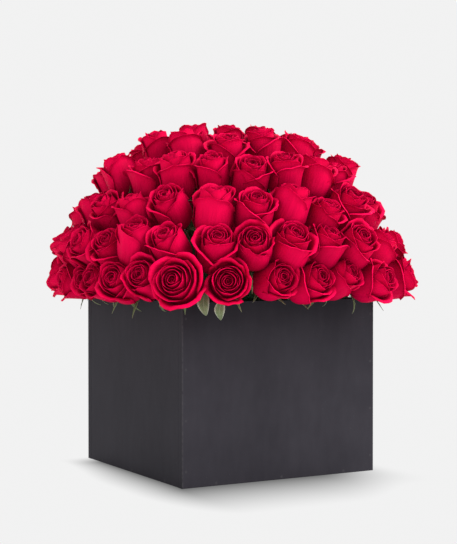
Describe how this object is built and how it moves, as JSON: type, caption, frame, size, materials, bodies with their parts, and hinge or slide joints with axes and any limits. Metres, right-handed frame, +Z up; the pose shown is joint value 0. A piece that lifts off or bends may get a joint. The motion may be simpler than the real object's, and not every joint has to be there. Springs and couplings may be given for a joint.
{
  "type": "flower box",
  "caption": "Square painted box with a lift-out insert: a lined foam block that carries a tall dome of red roses over and past the rim.",
  "frame": {"origin": "centre of the box's underside, on the surface that it stands on", "axes": "+Z up; the front wall faces -Y; +X to the right seen from the front"},
  "size_m": [0.4067, 0.4061, 0.4046],
  "materials": {
    "painted_board": "matte charcoal-black paint on thin board",
    "brad_steel": "plain bright steel",
    "wood_filler": "smooth painted filler",
    "liner_plastic": "thin black moulded plastic",
    "floral_foam": "wet, fine open-celled green foam",
    "rose_petal": "velvety crimson petals, brighter at the edges",
    "sepal_green": "soft green with greyish undersides",
    "stem_green": "smooth green stem",
    "leaf_green": "pale green leaflet with a whitish margin"
  },
  "bodies": {
    "box": {"front_wall": "painted_board", "back_wall": "painted_board", "left_wall": "painted_board", "right_wall": "painted_board", "base_panel": "painted_board", "corner_brads": "brad_steel", "base_brads": "brad_steel", "brad_filler": "wood_filler"},
    "arrangement": {"liner_tray": "liner_plastic", "lower_foam_left": "floral_foam", "lower_foam_right": "floral_foam", "upper_foam_front": "floral_foam", "upper_foam_back": "floral_foam", "crown_foam": "floral_foam", "rim_blooms": "rose_petal", "second_blooms": "rose_petal", "third_blooms": "rose_petal", "fourth_blooms": "rose_petal", "fifth_blooms": "rose_petal", "sixth_blooms": "rose_petal", "top_blooms": "rose_petal", "rim_hips": "sepal_green", "second_hips": "sepal_green", "third_hips": "sepal_green", "fourth_hips": "sepal_green", "fifth_hips": "sepal_green", "sixth_hips": "sepal_green", "top_hips": "sepal_green", "rim_stems": "stem_green", "second_stems": "stem_green", "third_stems": "stem_green", "fourth_stems": "stem_green", "fifth_stems": "stem_green", "sixth_stems": "stem_green", "top_stems": "stem_green", "corner_leaflets": "leaf_green"}
  },
  "joints": [
    {"name": "insert_lift", "type": "slide", "parent": "box", "child": "arrangement", "axis": [0, 0, 1], "range_m": [0, 0.21]}
  ]
}
